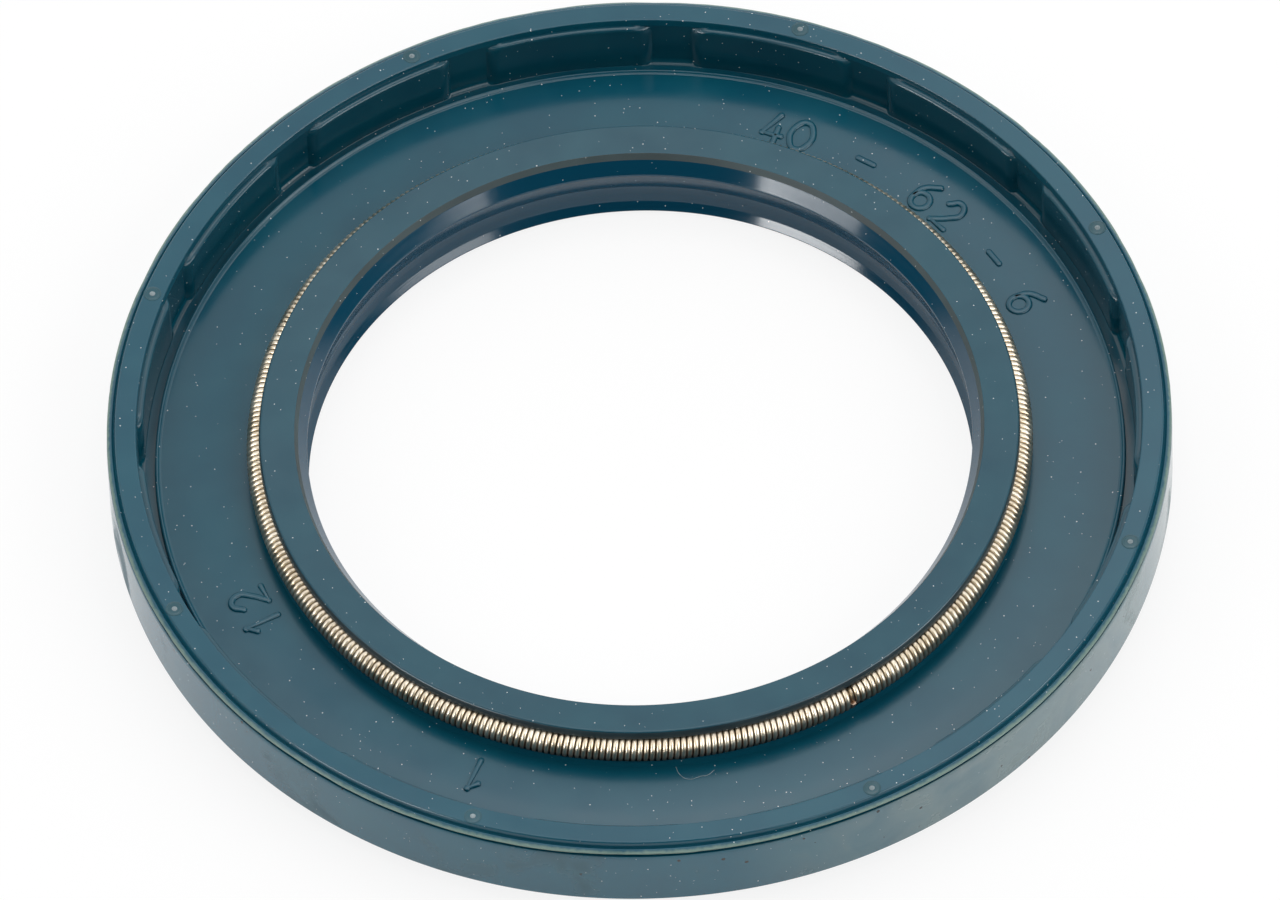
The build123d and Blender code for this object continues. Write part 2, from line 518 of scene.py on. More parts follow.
# each corner: radius, height, how far its rounding reaches along both edges, and its segments
corners = [
    (disc_r, groove_floor_z, 0.03, 1),
    (disc_r, dished_z + bead_height - 0.02, 0.06, 2),
    (bead_r, dished_z + bead_height, 0.05, 3),
    (bead_foot_r, dished_z, 0.10, 3),
    (dish_r, disc_z, 1.20, 4),
    (neck_r, disc_z, 0, 0),
]
groove_arc = arc_points(
    groove_center_r, spring_z, groove_r, mouth_low, mouth_high - 360, groove_steps
)
corners += [(r, z, 0, 0) for r, z in groove_arc]
corners += [
    (head_r, head_corner_z, 0.08, 2),
    (*front_outer, 0.11, 5),
    (*front_inner, 0.03, 2),
    (*trim_foot, 0.03, 2),
    (edge_r, edge_z + edge_land / 2, 0.03, 2),
    (edge_r, edge_z - edge_land / 2, 0.03, 2),
    (bore_r, bore_top_z, 0.20, 3),
    (bore_r, bore_bottom_z, 0.10, 2),
    (*dust_root, 0.10, 2),
    (*dust_edge, 0.05, 3),
    (dust_tip_inner_r, 0.0, 0.10, 3),
    (dust_tip_outer_r, 0.0, 0.10, 3),
    (recess_inner_r, recess_z, 0.15, 2),
    (recess_outer_r, recess_z, 0.10, 2),
    (recess_outer_r + recess_z - back_z, back_z, 0.05, 2),
    (outer_r - lead_in, back_z, 0.05, 2),
    (outer_r, back_z + lead_in, 0.06, 2),
    (outer_r, relief_bottom_z - relief_run_out, 0.08, 2),
    (outer_r - relief_step, relief_bottom_z, 0.05, 2),
    (relief_r, relief_bottom_z + relief_step, 0.03, 1),
    (relief_r, relief_top_z, 0.02, 1),
    (flash_r, flash_z - flash_thickness, 0.02, 1),
    (flash_r, flash_z, 0.02, 2),
    (step_r, step_z, 0.05, 4),
    (notch_r, notch_z, 0.03, 2),
    (land_outer_r, rim_z, 0.09, 6),
    (land_inner_r, rim_z, 0.07, 4),
]
corners += [
    (wall_inner_r, pad_ledge_z + (ledge_foot_z - pad_ledge_z) * i / ledge_rows, 0, 0)
    for i in range(ledge_rows + 1)
]
corners += [(wall_inner_r, z, 0, 0) for z in corner_rows]
corners += [(wall_inner_r, groove_floor_z, 0.35, 5)]
print("section:", len(corners), "corners")

# %% [markdown]
# ## Round the corners
#
# A vertex bevel on a flat face cuts off its corner. With a profile of 0.5 and a few segments the cut is
# an arc, which is what a drawing calls a fillet. The cavity for the ring and the nubs use the same
# function further on.

# %% Draw the section and round its corners
def round_corners(bm, corner_verts, reach, segments):
    """Round corners of an outline, each as far as this along its edges."""
    bmesh.ops.bevel(
        bm, geom=corner_verts, offset=reach, offset_type="OFFSET", affect="VERTICES",
        segments=segments, profile=0.5, material=-1,
    )


body = bmesh.new()
section_verts = [body.verts.new((r, 0, z)) for r, z, _, _ in corners]
body.faces.new(section_verts)
for vert, (_, _, reach, segments) in zip(section_verts, corners):
    if reach:
        round_corners(body, [vert], reach, segments)
bmesh.ops.delete(body, geom=list(body.faces), context="FACES_ONLY")
print("section:", len(body.verts), "points after rounding")

# %% [markdown]
# ## Spin the section
#
# The spin goes over one pad's share of the circle. Its steps are short where the pad's end curves back
# into the wall and longer elsewhere, so the ends stay crisp. Copies of it, each turned by one share
# and welded to the next, then close the circle, which is much quicker than one long spin.

# %% Spin the body
weld_distance = 0.002
pad_pitch = 360 / pad_count
end_depth = wall_inner_r - pad_face_r
end_reach = math.degrees(math.sqrt(2 * pad_end_r * end_depth - end_depth**2) / wall_inner_r)
pad_half_angle = pad_face_half_angle + end_reach
corner_angle = math.degrees(pad_corner_r / wall_inner_r)
half_share = [  # angle and steps, from a pad's middle to the middle of the next gap
    (pad_face_half_angle - corner_angle, 9),
    (corner_angle, 5),
    (end_reach, 6),
    (pad_pitch / 2 - pad_half_angle, 3),
]
spans = half_share + half_share[::-1]
bmesh.ops.rotate(
    body, verts=body.verts, cent=(0, 0, 0),
    matrix=Matrix.Rotation(math.radians(pad_first_angle), 3, "Z"),
)
column = list(body.verts) + list(body.edges)
for angle, steps in spans:
    column = bmesh.ops.spin(
        body, geom=column, cent=(0, 0, 0), axis=(0, 0, 1), angle=math.radians(angle), steps=steps,
    )["geom_last"]
share = list(body.verts) + list(body.edges) + list(body.faces)
for i in range(1, pad_count):
    copy = bmesh.ops.duplicate(body, geom=share)["geom"]
    bmesh.ops.rotate(
        body, verts=[v for v in copy if isinstance(v, bmesh.types.BMVert)], cent=(0, 0, 0),
        matrix=Matrix.Rotation(math.radians(i * pad_pitch), 3, "Z"),
    )
bmesh.ops.remove_doubles(body, verts=body.verts, dist=weld_distance)
print("spun body:", len(body.faces), "faces, closed:", all(e.is_manifold for e in body.edges))

# %% [markdown]
# ## Pads
#
# Fifteen shallow pads stand out of the inside wall. They could be separate solids joined by a boolean,
# but the wall already has the columns and rows that they need, so its points are simply drawn inwards.
# A pad's flat face ends in a curve that runs back into the wall, and its top edge is a rounded ledge
# with well-rounded corners.

# %% Draw the pads out of the wall
def pad_share(degrees, z):
    """1 on a pad's face, falling along its curved end to 0 on the bare wall."""
    off = abs((degrees - pad_first_angle + pad_pitch / 2) % pad_pitch - pad_pitch / 2)
    above_corner = max(0.0, pad_corner_r - (pad_ledge_z - z))
    inset = pad_corner_r - math.sqrt(pad_corner_r**2 - above_corner**2)
    along = max(0.0, math.radians(off - pad_face_half_angle) * wall_inner_r + inset)
    if along >= pad_end_r:
        return 0.0
    return max(0.0, 1 - (pad_end_r - math.sqrt(pad_end_r**2 - along**2)) / end_depth)


def pad_outline(radius, z):
    """Where a point of the bare wall's section goes on a pad's section."""
    ledge_flat = wall_inner_r - pad_face_r - pad_edge_r
    ledge_path = ledge_flat + pad_edge_r * math.pi / 2
    along = (pad_ledge_z - z) / (pad_ledge_z - ledge_foot_z) * ledge_path
    if along <= ledge_flat:
        return wall_inner_r - along, pad_ledge_z
    if along < ledge_path:
        turn = (along - ledge_flat) / pad_edge_r
        return (
            pad_face_r + pad_edge_r * (1 - math.sin(turn)),
            pad_ledge_z - pad_edge_r * (1 - math.cos(turn)),
        )
    return min(radius, pad_face_r), z


rounding_slack = 0.001  # so that a point which lies exactly on a limit counts as inside
moved = 0
for vert in body.verts:
    radius, z = vert.co.xy.length, vert.co.z
    on_wall = (
        pad_face_r < radius < wall_inner_r + rounding_slack
        and groove_floor_z < z < pad_ledge_z + rounding_slack
    )
    if not on_wall:
        continue
    pad_radius, pad_z = pad_outline(radius, z)
    share = pad_share(math.degrees(math.atan2(vert.co.y, vert.co.x)), pad_z)
    if share:
        new_radius = radius + (pad_radius - radius) * share
        vert.co.xy *= new_radius / radius
        vert.co.z += (pad_z - z) * share
        moved += 1
print("pad points moved:", moved)

# %% [markdown]
# ## Flash line
#
# Where the two halves of the mould met, a thin film of rubber squeezed out and tore off. It left a
# wavy edge round the rim. Smooth noise moves the edge in and out by a few hundredths of a millimetre.

# %% Make the flash line uneven
long_waves, short_waves, lift_waves = 9, 40, 25  # how fast each noise changes round the rim
swell_depth, mean_loss, lift = 0.05, 0.01, 0.02

flash_points = 0
for vert in body.verts:
    radius = vert.co.xy.length
    if radius > step_r + 0.1 and flash_z - 0.1 < vert.co.z < flash_z + 0.02:
        direction = vert.co.normalized()
        swell = noise.noise(direction * long_waves) + 0.5 * noise.noise(direction * short_waves)
        vert.co.xy *= 1 + min(0.0, swell_depth * swell - mean_loss) / radius
        vert.co.z += lift * noise.noise(vert.co.normalized() * lift_waves)
        flash_points += 1
print("flash points moved:", flash_points)

# %% [markdown]
# ## The cavity for the ring
#
# The stiffening ring fills a cavity inside the rubber. It is a second closed shell in the same mesh,
# spun from the L of the sheet, with its faces turned to look into the cavity.

# %% Add the cavity
sheet, ring_inner_r, ring_outer_r, ring_low_z, ring_high_z = 0.70, 23.80, 30.15, 1.25, 5.50
outside_bend, inside_bend, bend_segments = 1.20, 0.50, 5
cavity_corners = [  # radius, height, and the bend's radius
    (ring_inner_r, ring_low_z, 0),
    (ring_outer_r, ring_low_z, outside_bend),
    (ring_outer_r, ring_high_z, 0),
    (ring_outer_r - sheet, ring_high_z, 0),
    (ring_outer_r - sheet, ring_low_z + sheet, inside_bend),
    (ring_inner_r, ring_low_z + sheet, 0),
]


def spin_full_circle(bm, steps):
    """Spin all points and edges once round the Z axis and weld the last step to the first."""
    bmesh.ops.spin(
        bm, geom=list(bm.verts) + list(bm.edges), cent=(0, 0, 0), axis=(0, 0, 1),
        angle=math.tau, steps=steps, use_merge=True,
    )


bmesh.ops.recalc_face_normals(body, faces=body.faces)
cavity = bmesh.new()
cavity_verts = [cavity.verts.new((r, 0, z)) for r, z, _ in cavity_corners]
cavity.faces.new(cavity_verts)
for vert, (_, _, bend) in zip(cavity_verts, cavity_corners):
    if bend:
        round_corners(cavity, [vert], bend, bend_segments)
bmesh.ops.delete(cavity, geom=list(cavity.faces), context="FACES_ONLY")
spin_full_circle(cavity, steps=120)
bmesh.ops.recalc_face_normals(cavity, faces=cavity.faces)
bmesh.ops.reverse_faces(cavity, faces=cavity.faces)
cavity_mesh = bpy.data.meshes.new("ring_cavity")
cavity.to_mesh(cavity_mesh)
cavity.free()
body.from_mesh(cavity_mesh)
bpy.data.meshes.remove(cavity_mesh)
print("body with its cavity:", len(body.faces), "faces")

# %% [markdown]
# ## Give each face its rubber
#
# One piece of rubber shows several finishes, because each part of the mould left its own, and some
# faces carry painted shade. A face is told by its place on the section, so a short list of places, in
# order, gives each face its material.

# %% Finish the body
hair, near = 0.01, 0.10  # margins round a corner of the section, in millimetres
head_side_z = front_outer[1] - 0.06


def finish_at(radius, z):
    """The rubber at a place on the body's section."""
    if trim_foot[0] < radius < front_inner[0] and trim_foot[1] < z < front_inner[1]:
        return cut_rubber  # the trimmed corner
    if groove_center_r - groove_r - near < radius < neck_r - near and disc_z < z < head_side_z:
        return groove_shade_rubber  # painted shade: the spring's groove and the side of the head
    if radius < head_r + near and z > trim_foot[1] + near:
        return lip_and_shade_rubber  # the head of the lip
    if radius > step_r + hair and z > flash_z - flash_thickness - hair:
        return flash_rubber
    if radius < trim_foot[0] + hair and dust_edge[1] - near < z < trim_foot[1]:
        return core_rubber  # the faces round the bore
    if radius > relief_r - hair and relief_bottom_z < z < flash_z - flash_thickness:
        return lip_and_shade_rubber  # painted shade in the slot under the flash
    if radius > relief_r - hair:
        return wall_rubber
    if pad_face_r - 0.05 < radius < wall_inner_r + hair and z < pad_ledge_z + hair:
        return lip_and_shade_rubber  # painted shade on the inside wall and its pads
    return rubber


body_rubbers = [
    rubber, cut_rubber, flash_rubber, core_rubber, wall_rubber, lip_and_shade_rubber, groove_shade_rubber
]
for face in body.faces:
    middle = face.calc_center_median()
    face.material_index = body_rubbers.index(finish_at(middle.xy.length, middle.z))
seal_body = finish_piece(body, "seal_body_rubber", body_rubbers)
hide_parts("seal_body")

# %% [markdown]
# ## Flat faces that are shaded flat
#
# Smooth shading bends a flat face towards the roundings beside it, and then it mirrors the wrong part
# of the room. So each corner of each face gets its own normal: the mean of the faces that meet there
# smoothly, in which the large faces count far more than the narrow ones.

# %% Even out the shading of the body
mesh = seal_body.data
smooth_limit = math.cos(math.radians(sharp_edge_angle))
face_normals = [face.normal.copy() for face in mesh.polygons]
pulls = [face.normal * (face.area / MM**2) ** 2 for face in mesh.polygons]
faces_at = [[] for _ in mesh.vertices]
for face in mesh.polygons:
    for vert_index in face.vertices:
        faces_at[vert_index].append(face.index)
corner_normals = []
for face in mesh.polygons:
    own = face_normals[face.index]
    for vert_index in face.vertices:
        total = Vector()
        for other in faces_at[vert_index]:
            if face_normals[other].dot(own) > smooth_limit:
                total += pulls[other]
        corner_normals.append(total.normalized())
mesh.normals_split_custom_set(corner_normals)
print("corners shaded:", len(corner_normals))

# %% [markdown]
# ## Nubs on the land
#
# Eight low nubs stand on the rim, as a mould's air vents leave them. Each is a small torn cone in a
# shallow hollow, with a low round ridge about it. One profile of a few points, rounded by a bevel and
# spun about the nub's own axis, makes it, and its foot is sunk into the land. Each cone's tip is a
# paler rubber, as a painted highlight that shows as a bright dot.

# %% Model one nub
nub_dia, nub_height, nub_sunk = 1.05, 0.10, 0.03
highlight_r = 0.12  # inside this radius the cone's tip is a painted highlight
nub_profile = [  # share of the nub's radius, and of its height
    (0, 1), (0.08, 0.98), (0.34, 0.10), (0.62, 0.12), (0.80, 0.03), (0.90, 0.28), (1, 0.02),
    (1, -nub_sunk / nub_height),
]

nub = bmesh.new()
flank = [
    nub.verts.new((across * nub_dia / 2, 0, up * nub_height)) for across, up in nub_profile
]
for start, end in zip(flank, flank[1:]):
    nub.edges.new((start, end))
nub.edges.new((flank[-1], nub.verts.new((0, 0, -nub_sunk))))
round_corners(nub, flank[1:6], reach=0.02, segments=4)
spin_full_circle(nub, steps=24)
bmesh.ops.remove_doubles(nub, verts=nub.verts, dist=0.001)
bmesh.ops.recalc_face_normals(nub, faces=nub.faces)
for face in nub.faces:
    face.material_index = 1 if face.calc_center_median().xy.length < highlight_r else 0
nub_mesh = bpy.data.meshes.new("nub")
nub.to_mesh(nub_mesh)
nub.free()
print("one nub:", len(nub_mesh.polygons), "faces")

# %% [markdown]
# ## Set the nubs on the rim
#
# The nubs stand at even angles on one circle. They are all alike, so the one mesh is moved to each
# place, copied into a bmesh and moved back.

# %% Place the nubs
nub_count, nub_first_angle, nub_circle_r = 8, 24.7, 29.98

nubs = bmesh.new()
for i in range(nub_count):
    place = on_circle(nub_circle_r, nub_first_angle + i * 360 / nub_count, rim_z)
    nub_mesh.transform(Matrix.Translation(place))
    nubs.from_mesh(nub_mesh)
    nub_mesh.transform(Matrix.Translation(-place))
bpy.data.meshes.remove(nub_mesh)
vent_rubber = moulded_rubber(
    "vented_nitrile_rubber", "#1B4F5C", "#164650", roughness=0.13, grain_depth_mm=0.002
)
# painted highlight: the pale rubber on each nub's tip
painted_highlight_rubber = moulded_rubber(
    "nub_tip_painted_highlight_rubber", "#8D9BA0", "#707F84", roughness=0.30, grain_depth_mm=0.002
)
finish_piece(nubs, "rim_nubs", [vent_rubber, painted_highlight_rubber])

# %% [markdown]
# ## Raised size figures
#
# The nominal sizes stand on the disc as plain raised numbers: shaft, bore and width. A plain 12 and a
# plain 1 stand on the other side. Each stroke is a low ridge with soft shoulders, a slightly crowned
# top and round ends, as a small round-nosed cutter leaves it in a mould. So a digit is drawn as a few
# strokes, in a square that is 2 wide and 2 high, and not set in a typeface.

# %% Draw the strokes of the figures
# each stroke: is it closed, and its points: across, up (both -1 to 1), and "c" for a sharp corner
digit_strokes = {
    "0": [
        (True, [(0, 1, ""), (1, 0.45, ""), (1, -0.45, ""),
                (0, -1, ""), (-1, -0.45, ""), (-1, 0.45, "")]),
    ],
    "1": [(False, [(-0.6, 0.5, "c"), (0.2, 1, "c"), (0.2, -1, "c")])],
    "2": [
        (False, [(-0.95, 0.5, ""), (0, 1, ""), (0.95, 0.45, ""),
                 (0.3, -0.25, ""), (-1, -1, "c"), (1, -1, "c")]),
    ],
    "4": [
        (False, [(0.25, 1, "c"), (-1, -0.45, "c"), (1, -0.45, "c")]),
        (False, [(0.45, 0.1, "c"), (0.45, -1, "c")]),
    ],
    "6": [
        (True, [(0, -1, ""), (-1, -0.4, ""), (0, 0.15, ""), (1, -0.4, "")]),
        (False, [(-1, -0.4, ""), (-0.8, 0.35, ""), (0.55, 1, "")]),
    ],
    "-": [(False, [(-0.9, 0, "c"), (0.9, 0, "c")])],
}
# figure and its angle round the disc: they read clockwise with their tops outwards
placed_figures = [
    ("4", 69.8), ("0", 65.8), ("-", 56.0), ("6", 46.0), ("2", 41.5), ("-", 31.9), ("6", 23.35),
    ("1", 245.9), ("1", 207.0), ("2", 202.6),
]
print("figures:", "".join(figure for figure, _ in placed_figures))

# %% [markdown]
# ## Turn the strokes into rubber
#
# A curve with a round bevel gives each stroke its even width, and a small ball at each end and sharp
# corner rounds it off. Above the shoulder the shape is pressed flat, and the rest of the round section
# is sunk into the disc. Two helpers set up such a curve and turn it into a mesh, and the fibre of the
# next step uses them too.

# %% Make the raised figures
figure_width, figure_height, stroke_width, figure_relief = 1.15, 2.10, 0.40, 0.07
shoulder, crown = 0.08, 0.3  # above the shoulder, a stroke is flattened to this share of its height
figure_circle_r = 24.95
end_ball_r = 0.49 * stroke_width  # a hair less than the stroke, so that the ball doesn't show


def new_strand(name, thickness, roundness):
    """An empty curve with a round section and closed ends."""
    curve = bpy.data.curves.new(name, "CURVE")
    curve.dimensions = "3D"
    curve.bevel_depth, curve.bevel_resolution, curve.resolution_u = thickness / 2, roundness, 6
    curve.use_fill_caps = True
    return curve


def mesh_of(curve):
    """The mesh that a curve shows, made through an object, which goes again with the curve."""
    thing = bpy.data.objects.new(curve.name, curve)
    scene.collection.objects.link(thing)
    mesh = bpy.data.meshes.new_from_object(
        thing.evaluated_get(bpy.context.evaluated_depsgraph_get())
    )
    bpy.data.objects.remove(thing)
    bpy.data.curves.remove(curve)
    return mesh


figures = bmesh.new()
for figure, degrees in placed_figures:
    curve = new_strand("stroke", stroke_width, roundness=3)
    ends = []
    for closed, points in digit_strokes[figure]:
        spline = curve.splines.new("BEZIER")
        spline.bezier_points.add(len(points) - 1)
        spline.use_cyclic_u = closed
        for knot, (across, up, corner) in zip(spline.bezier_points, points):
            knot.co = (across * figure_width / 2, up * figure_height / 2, 0)
            knot.handle_left_type = knot.handle_right_type = "VECTOR" if corner else "AUTO"
        knots = list(spline.bezier_points)
        if not closed:
            ends += [knots[0].co.copy(), knots[-1].co.copy()]
        ends += [knot.co.copy() for knot, point in zip(knots[1:-1], points[1:-1]) if point[2]]
    stroke_mesh = mesh_of(curve)
    digit = bmesh.new()
    digit.from_mesh(stroke_mesh)
    for end in ends:
        bmesh.ops.create_uvsphere(
            digit, u_segments=12, v_segments=8, radius=end_ball_r, matrix=Matrix.Translation(end)
        )
    for vert in digit.verts:
        if vert.co.z > shoulder:
            vert.co.z = shoulder + (vert.co.z - shoulder) * crown
    to_disc = (
        Matrix.Rotation(math.radians(degrees - 90), 4, "Z")
        @ Matrix.Translation((0, figure_circle_r, disc_z + figure_relief - shoulder))
    )
    bmesh.ops.transform(digit, matrix=to_disc, verts=digit.verts)
    digit.to_mesh(stroke_mesh)
    digit.free()
    figures.from_mesh(stroke_mesh)
    bpy.data.meshes.remove(stroke_mesh)
bmesh.ops.recalc_face_normals(figures, faces=figures.faces)
finish_piece(figures, "size_figures", [rubber], sharp_angle=60)

# %% [markdown]
# ## A lint fibre
#
# One pale textile fibre, a few hundredths of a millimetre thick, has settled on the disc beside the
# spring. It is a short curve with a round section, pressed a little into the surface.

# %% Lay the lint fibre
fibre_dia = 0.03
fibre_lift = 0.3  # height of its middle over the disc, as a share of its diameter
fuzz_mm = 0.2
fibre_points = [
    (1.34, -22.76), (1.56, -23.32), (2.02, -23.66), (2.82, -23.48), (3.14, -23.43), (3.55, -23.08),
]

lint, tree, output = new_material("cotton_lint")
place = add_node(tree, "TexCoord").outputs["Object"]
fuzz = add_node(tree, "TexNoise", {"Vector": place, "Scale": 1 / (fuzz_mm * MM)})
pale = add_node(tree, "ValToRGB", {"Fac": fuzz.outputs["Fac"]})
stops = pale.color_ramp.elements
stops[0].color, stops[1].color = linear("#6F8087"), linear("#AEB9BA")
shader = add_node(tree, "BsdfPrincipled", {"Base Color": pale.outputs["Color"], "Roughness": 0.7})
tree.links.new(shader.outputs["BSDF"], output.inputs["Surface"])

curve = new_strand("fibre", fibre_dia, roundness=1)
spline = curve.splines.new("BEZIER")
spline.bezier_points.add(len(fibre_points) - 1)
for knot, (x, y) in zip(spline.bezier_points, fibre_points):
    knot.co = (x, y, disc_z + fibre_lift * fibre_dia)
    knot.handle_left_type = knot.handle_right_type = "AUTO"
fibre_mesh = mesh_of(curve)
fibre = bmesh.new()
fibre.from_mesh(fibre_mesh)
bpy.data.meshes.remove(fibre_mesh)
bmesh.ops.remove_doubles(fibre, verts=fibre.verts, dist=0.0005)
bmesh.ops.recalc_face_normals(fibre, faces=fibre.faces)
finish_piece(fibre, "lint_fibre", [lint], sharp_angle=60)

# %% [markdown]
# ## Drawn spring wire
#
# The spring is bright drawn steel wire. Drawing leaves it smooth, and it mirrors the room softly, with
# a warm tint. Low down, towards the groove, its colour turns brown as painted shade: a second colour
# comes up with the depth below the spring's middle.

# %% Make the spring wire
tint_mm = 1.2
painted_shade_low, painted_shade_high, painted_shade_cover = -0.3, 0.45, 0.9  # heights from the spring's middle, and how much

spring_wire, tree, output = new_material("drawn_spring_steel_wire")
place = add_node(tree, "TexCoord").outputs["Object"]
tint = add_node(tree, "TexNoise", {"Vector": place, "Scale": 1 / (tint_mm * MM), "Detail": 3.0})
wire_colour = add_node(tree, "ValToRGB", {"Fac": tint.outputs["Fac"]})
stops = wire_colour.color_ramp.elements
stops[0].position, stops[1].position = 0.35, 0.65
stops[0].color, stops[1].color = linear("#D6C7AE"), linear("#F0E6D3")
wire_gloss = add_node(
    tree, "MapRange",
    {"Value": tint.outputs["Fac"], "From Min": 0.35, "From Max": 0.65, "To Min": 0.32, "To Max": 0.40},
)
height = add_node(tree, "SeparateXYZ", {"Vector": place})
# painted shade: the wire's colour turns brown towards the bottom of the spring
painted_underside_shade = add_node(
    tree, "MapRange",
    {"Value": height.outputs["Z"], "From Min": (spring_z + painted_shade_low) * MM,
     "From Max": (spring_z + painted_shade_high) * MM, "To Min": painted_shade_cover, "To Max": 0.0},
)
wire_with_painted_shade = add_node(
    tree, "Mix",
    {"Factor": painted_underside_shade.outputs["Result"], COLOUR_A: wire_colour.outputs["Color"],
     COLOUR_B: linear("#94674F")},
    data_type="RGBA",
)
shader = add_node(
    tree, "BsdfPrincipled",
    {"Base Color": wire_with_painted_shade.outputs[MIXED], "Metallic": 1.0, "Roughness": wire_gloss.outputs["Result"]},
)
tree.links.new(shader.outputs["BSDF"], output.inputs["Surface"])
print("spring wire:", len(tree.nodes), "nodes")

# %% [markdown]
# ## The garter spring
#
# A garter spring is a long close-wound coil of thin wire, bent into a ring. One end is wound smaller
# and screwed into the other, so there is a small neck at the joint. Here a small circle is spun like
# a screw thread, which gives a short straight coil, and copies of it are welded end to end. Each point
# is then carried onto the ring, which spreads the turns on the outside and presses them together on
# the inside, as in the real one.

# %% Wind the spring and bend it into a ring
turns_per_ring = 395
wire_dia = 0.335
joint_angle = 301.0
hidden_turns, neck_turns = 5, 3  # turns that are screwed in, and turns over which the neck widens
hidden_coil_r, neck_coil_r = 0.32, 0.56
coil_r = coil_dia / 2 - wire_dia / 2
wire_sides, steps_per_turn = 6, 12
turns_per_length, lengths = 20, 20
pitch = math.tau * spring_r / turns_per_ring

spring = bmesh.new()
bmesh.ops.create_circle(
    spring, segments=wire_sides, radius=wire_dia / 2,
    matrix=Matrix.Translation((coil_r, 0, 0)) @ Matrix.Rotation(math.pi / 2, 4, "X"),
)
bmesh.ops.spin(
    spring, geom=list(spring.verts) + list(spring.edges), cent=(0, 0, 0), axis=(0, 0, 1),
    dvec=(0, 0, pitch / steps_per_turn), angle=math.tau * turns_per_length,
    steps=turns_per_length * steps_per_turn,
)
length = list(spring.verts) + list(spring.edges) + list(spring.faces)
for i in range(1, lengths):
    copy = bmesh.ops.duplicate(spring, geom=length)["geom"]
    bmesh.ops.translate(
        spring, verts=[v for v in copy if isinstance(v, bmesh.types.BMVert)],
        vec=(0, 0, i * turns_per_length * pitch),
    )
bmesh.ops.remove_doubles(spring, verts=spring.verts, dist=weld_distance)
bmesh.ops.holes_fill(spring, edges=[e for e in spring.edges if e.is_boundary], sides=0)


def coil_radius_at(turn):
    """Radius of the coil, counted in turns from its screwed-in end."""
    if turn < hidden_turns - 0.5:
        return hidden_coil_r
    if turn < hidden_turns + 0.5:
        return hidden_coil_r + (neck_coil_r - hidden_coil_r) * (turn - hidden_turns + 0.5)
    widened = (turn - hidden_turns - 0.5) / neck_turns
    return min(coil_r, neck_coil_r + (coil_r - neck_coil_r) * widened)


for vert in spring.verts:
    turn = vert.co.z / pitch
    across = vert.co.xy.normalized() * (vert.co.xy.length + coil_radius_at(turn) - coil_r)
    degrees = joint_angle + 360 * (turn - hidden_turns) / turns_per_ring
    vert.co = on_circle(spring_r + across.x, degrees, spring_z + across.y)
bmesh.ops.recalc_face_normals(spring, faces=spring.faces)
spring_coil = finish_piece(spring, "garter_spring_coil", [spring_wire], sharp_angle=75)
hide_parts("garter_spring")

# %% [markdown]
# ## Pressed steel ring
#
# The stiffening ring is pressed from cold-rolled sheet and phosphated so that the rubber bonds to it.
# It keeps the frame's shape, and its finish is the dull grey, finely crystalline skin of phosphate.

# %% Finish the stiffening ring
crystal_mm, crystal_depth_mm = 0.15, 0.004  # real crystals are finer: these are as coarse as shows

phosphate, tree, output = new_material("phosphated_pressed_steel")
place = add_node(tree, "TexCoord").outputs["Object"]
crystals = add_node(tree, "TexVoronoi", {"Vector": place, "Scale": 1 / (crystal_mm * MM)})
skin = add_node(tree, "ValToRGB", {"Fac": crystals.outputs["Distance"]})
stops = skin.color_ramp.elements
stops[0].color, stops[1].color = linear("#6A6C6C"), linear("#85878A")
crystal_relief = add_node(
    tree, "Bump",
    {"Height": crystals.outputs["Distance"], "Distance": crystal_depth_mm * MM, "Strength": 1.0},
)
shader = add_node(
    tree, "BsdfPrincipled",
    {"Base Color": skin.outputs["Color"], "Metallic": 0.85, "Roughness": 0.48,
     "Normal": crystal_relief.outputs["Normal"]},
)
tree.links.new(shader.outputs["BSDF"], output.inputs["Surface"])
ring_slots = frame["nodes"]["stiffening_ring"].material_slots
for material_slot in ring_slots:
    material_slot.material = phosphate
print("stiffening ring slots:", len(ring_slots))

# %% [markdown]
# ## The table
#
# The seal stands on its dust lip on a plain table.

# %% Lay the table
table_mesh = bpy.data.meshes.new("table")
table_bm = bmesh.new()
bmesh.ops.create_grid(table_bm, x_segments=1, y_segments=1, size=3.0)
table_bm.to_mesh(table_mesh)
table_bm.free()
table = bpy.data.objects.new("table", table_mesh)
scene.collection.objects.link(table)
print("table:", [round(side, 2) for side in table.dimensions], "m")

# %% [markdown]
# ## The table's white
#
# The table is painted matt white and keeps the seal's soft shadow. Its white is partly light of its
# own, as on a light table, so it stays clean to the eye and in everything that mirrors it. Light Path
# gives that light to the camera and to mirrored rays alone, so it brightens no matt surface. Under the
# seal, where little light gets, the mirrored share fades.

# %% Paint the table
seen_share = 0.85  # how much of the table's white, as seen, is free of shadow
mirrored_share_under, mirrored_share_round = 0.12, 0.9  # as mirrored, under the seal and round it
fade_from_r, fade_to_r = 23, 32
cloud_mm = 40

